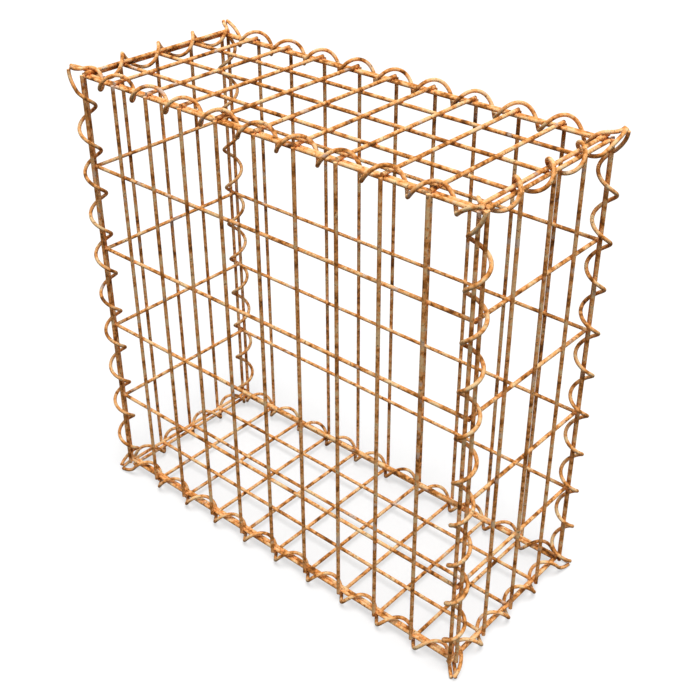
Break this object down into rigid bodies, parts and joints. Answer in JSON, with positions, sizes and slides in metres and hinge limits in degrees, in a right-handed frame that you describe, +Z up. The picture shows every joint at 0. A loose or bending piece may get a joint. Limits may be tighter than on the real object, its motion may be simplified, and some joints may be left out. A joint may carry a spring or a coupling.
{
  "type": "gabion basket",
  "caption": "Closed box-shaped gabion basket of welded round wire mesh, laced along every edge by a spiral of wire, rusty and empty.",
  "frame": {"origin": "on the ground under the middle of the basket, which stands on its four lower spirals", "axes": "+X along the length, +Y from the front panel to the back panel, +Z up"},
  "size_m": [0.528, 0.2286, 0.5282],
  "materials": {
    "rusted_panel_wire": "matte",
    "rusted_spiral_wire": "matte"
  },
  "bodies": {
    "root": {"front_uprights": "rusted_panel_wire", "front_level_wires": "rusted_panel_wire", "back_uprights": "rusted_panel_wire", "back_level_wires": "rusted_panel_wire", "left_uprights": "rusted_panel_wire", "left_level_wires": "rusted_panel_wire", "right_uprights": "rusted_panel_wire", "right_level_wires": "rusted_panel_wire", "lid_cross_wires": "rusted_panel_wire", "lid_long_wires": "rusted_panel_wire", "bottom_cross_wires": "rusted_panel_wire", "bottom_long_wires": "rusted_panel_wire", "spiral_top_front": "rusted_spiral_wire", "spiral_top_back": "rusted_spiral_wire", "spiral_top_left": "rusted_spiral_wire", "spiral_top_right": "rusted_spiral_wire", "spiral_bottom_front": "rusted_spiral_wire", "spiral_bottom_back": "rusted_spiral_wire", "spiral_bottom_left": "rusted_spiral_wire", "spiral_bottom_right": "rusted_spiral_wire", "spiral_front_left": "rusted_spiral_wire", "spiral_front_right": "rusted_spiral_wire", "spiral_back_left": "rusted_spiral_wire", "spiral_back_right": "rusted_spiral_wire"}
  },
  "joints": []
}
